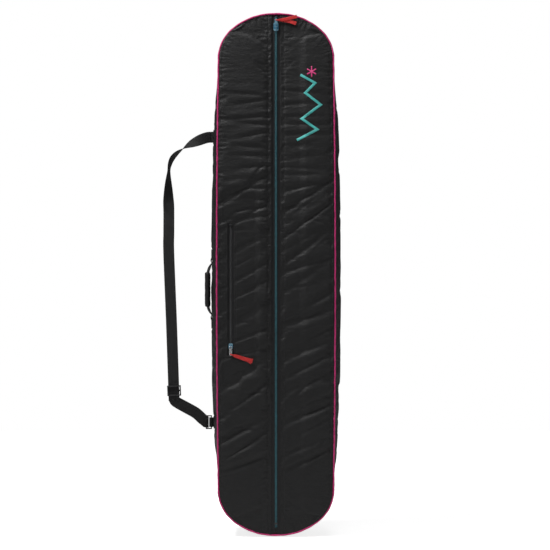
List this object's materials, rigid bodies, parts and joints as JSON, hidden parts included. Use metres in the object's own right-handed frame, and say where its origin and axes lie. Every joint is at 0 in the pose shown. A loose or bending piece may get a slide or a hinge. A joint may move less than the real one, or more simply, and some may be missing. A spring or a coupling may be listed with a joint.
{
  "type": "snowboard bag",
  "caption": "Long padded snowboard bag with rounded ends, piped front seam, full-length opening zip, front zip pocket, side carry handle and adjustable shoulder strap.",
  "frame": {"origin": "centre of the back panel's flat outer face, mid length and mid width", "axes": "+Z along the bag's length towards the end where the main zip slider is parked, +Y out of the back panel, so the zipped front faces -Y, +X to the bag's right seen from the front"},
  "size_m": [0.513, 0.1281, 1.5],
  "materials": {
    "shell_cloth": "matte",
    "lining_cloth": "matte",
    "foam": "matte",
    "piping": "satin",
    "zip_tape": "matte",
    "teal_coil": "satin",
    "black_coil": "satin",
    "painted_metal": "gloss",
    "bright_metal": "polished",
    "ribbon": "satin",
    "webbing": "matte",
    "hardware_plastic": "satin",
    "print_teal": "matte",
    "print_pink": "matte"
  },
  "bodies": {
    "bag": {"back_panel": "shell_cloth", "back_padding": "foam", "back_lining": "lining_cloth", "side_gusset_left": "shell_cloth", "side_gusset_right": "shell_cloth", "side_padding_left": "foam", "side_padding_right": "foam", "side_lining_left": "lining_cloth", "side_lining_right": "lining_cloth", "end_gusset_top": "shell_cloth", "end_gusset_bottom": "shell_cloth", "end_padding_top": "foam", "end_padding_bottom": "foam", "end_lining_top": "lining_cloth", "end_lining_bottom": "lining_cloth", "front_piping": "piping", "front_frame_left": "shell_cloth", "front_frame_right": "shell_cloth", "main_tape_top": "zip_tape", "main_tape_bottom": "zip_tape", "main_coil_top": "teal_coil", "main_coil_bottom": "teal_coil", "main_stop_top": "bright_metal", "main_stop_bottom": "bright_metal", "handle_anchor_upper": "webbing", "handle_anchor_lower": "webbing", "strap_anchor": "webbing", "strap_ring_tab": "webbing"},
    "left_flap": {"front_flap_left": "shell_cloth", "flap_lining_left": "lining_cloth", "main_tape_left": "zip_tape", "main_coil_left": "teal_coil", "pocket_tape_left": "zip_tape", "pocket_tape_right": "zip_tape", "pocket_coil_left": "black_coil", "pocket_coil_right": "black_coil", "pocket_stop_upper": "bright_metal", "pocket_stop_lower": "bright_metal", "pocket_bag": "lining_cloth"},
    "right_flap": {"front_flap_right": "shell_cloth", "flap_lining_right": "lining_cloth", "main_tape_right": "zip_tape", "main_coil_right": "teal_coil", "motif_ridge": "print_teal", "motif_crystal": "print_pink"},
    "zip_slider": {"main_slider": "painted_metal"},
    "zip_tab": {"main_tab": "bright_metal"},
    "zip_pull": {"main_pull": "ribbon"},
    "pocket_zip_slider": {"pocket_slider": "painted_metal"},
    "pocket_zip_tab": {"pocket_tab": "bright_metal"},
    "pocket_zip_pull": {"pocket_pull": "ribbon"},
    "handle": {"handle_webbing": "webbing", "handle_grip": "shell_cloth"},
    "strap": {"shoulder_strap": "webbing", "strap_ring": "hardware_plastic"},
    "adjuster": {"strap_adjuster": "hardware_plastic"}
  },
  "joints": [
    {"name": "left_flap_open", "type": "hinge", "parent": "bag", "child": "left_flap", "pos_m": [-0.152, -0.1205, 0], "axis": [0, 0, -1], "range_deg": [0, 110]},
    {"name": "right_flap_open", "type": "hinge", "parent": "bag", "child": "right_flap", "pos_m": [0.152, -0.1205, 0], "axis": [0, 0, 1], "range_deg": [0, 110]},
    {"name": "main_zip_slide", "type": "slide", "parent": "bag", "child": "zip_slider", "axis": [0, 0, -1], "range_m": [0, 1.408]},
    {"name": "main_tab_flip", "type": "hinge", "parent": "zip_slider", "child": "zip_tab", "pos_m": [0, -0.1251, 0.71], "axis": [1, 0, 0], "range_deg": [0, 180]},
    {"name": "main_pull_swing", "type": "hinge", "parent": "zip_tab", "child": "zip_pull", "pos_m": [0, -0.1251, 0.729], "axis": [0, -1, 0], "range_deg": [-15, 90]},
    {"name": "pocket_zip_slide", "type": "slide", "parent": "left_flap", "child": "pocket_zip_slider", "axis": [0, 0, 1], "range_m": [0, 0.331]},
    {"name": "pocket_tab_flip", "type": "hinge", "parent": "pocket_zip_slider", "child": "pocket_zip_tab", "pos_m": [-0.13, -0.1231, -0.206], "axis": [-1, 0, 0], "range_deg": [0, 180]},
    {"name": "pocket_pull_swing", "type": "hinge", "parent": "pocket_zip_tab", "child": "pocket_zip_pull", "pos_m": [-0.13, -0.1231, -0.229], "axis": [0, 1, 0], "range_deg": [-10, 75]},
    {"name": "handle_swing", "type": "hinge", "parent": "bag", "child": "handle", "pos_m": [-0.191, -0.06, -0.042], "axis": [0, 0, -1], "range_deg": [-45, 45]},
    {"name": "strap_swing", "type": "hinge", "parent": "bag", "child": "strap", "pos_m": [-0.188, -0.0575, -0.015], "axis": [0, 0, -1], "range_deg": [-85, 85]},
    {"name": "adjuster_slide", "type": "slide", "parent": "strap", "child": "adjuster", "axis": [-0.0388, 0, 0.9992], "range_m": [0, 0.2]}
  ]
}
